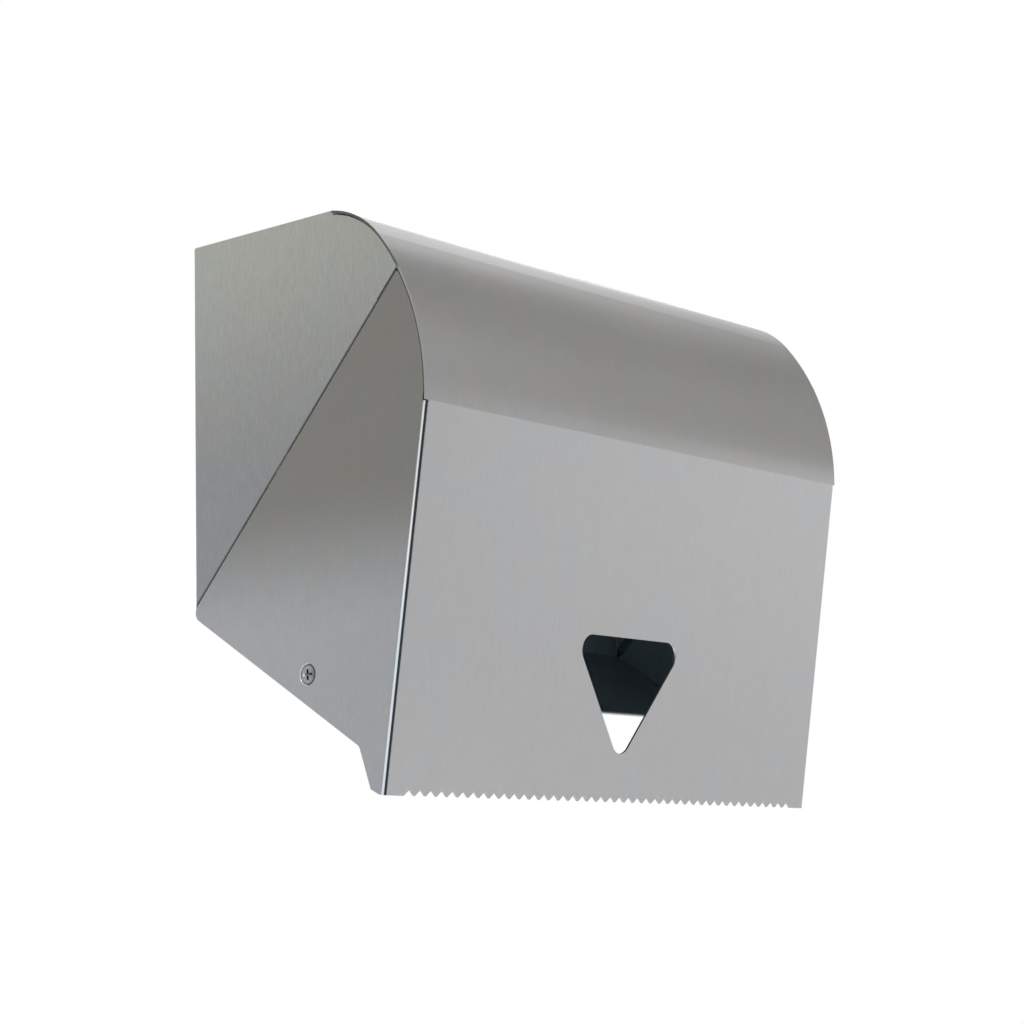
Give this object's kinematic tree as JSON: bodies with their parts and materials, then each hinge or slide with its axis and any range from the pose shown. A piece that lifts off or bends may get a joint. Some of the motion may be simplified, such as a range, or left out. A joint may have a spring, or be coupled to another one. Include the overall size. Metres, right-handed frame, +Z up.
{
  "type": "paper towel dispenser",
  "caption": "Wall-mounted roll towel dispenser in satin stainless sheet, with a hooded cover that swings down, a triangular window and a serrated tear edge.",
  "frame": {"origin": "middle of the back plate's wall face, at the centre of the four wall holes", "axes": "+X to the right seen from the front, the front faces -Y, the wall is the plane Y = 0, +Z up"},
  "size_m": [0.32, 0.1462, 0.2614],
  "materials": {
    "satin_steel": "satin stainless steel with fine upright grain",
    "bright_steel": "bright zinc or stainless hardware",
    "plain_steel": "plain mill finish",
    "nylon": "natural moulded nylon"
  },
  "bodies": {
    "case": {"body": "satin_steel", "pivot_screw_left": "bright_steel", "pivot_screw_right": "bright_steel", "pivot_spacer_left": "nylon", "pivot_spacer_right": "nylon", "pivot_washer_left": "bright_steel", "pivot_washer_right": "bright_steel", "pivot_nut_left": "bright_steel", "pivot_nut_right": "bright_steel", "nut_ring_left": "nylon", "nut_ring_right": "nylon", "cradle_left": "plain_steel", "cradle_right": "plain_steel"},
    "cover": {"cover": "satin_steel"},
    "spindle": {"spindle_rod": "bright_steel", "hub_left": "nylon", "hub_right": "nylon", "spindle_clip_left": "bright_steel", "spindle_clip_right": "bright_steel"}
  },
  "joints": [
    {"name": "cover_swing", "type": "hinge", "parent": "case", "child": "cover", "pos_m": [0, -0.0735, -0.11999], "axis": [1, 0, 0], "range_deg": [0, 144]},
    {"name": "spindle_turn", "type": "hinge", "parent": "case", "child": "spindle", "pos_m": [0, -0.074, -0.0015], "axis": [1, 0, 0], "continuous": true}
  ]
}
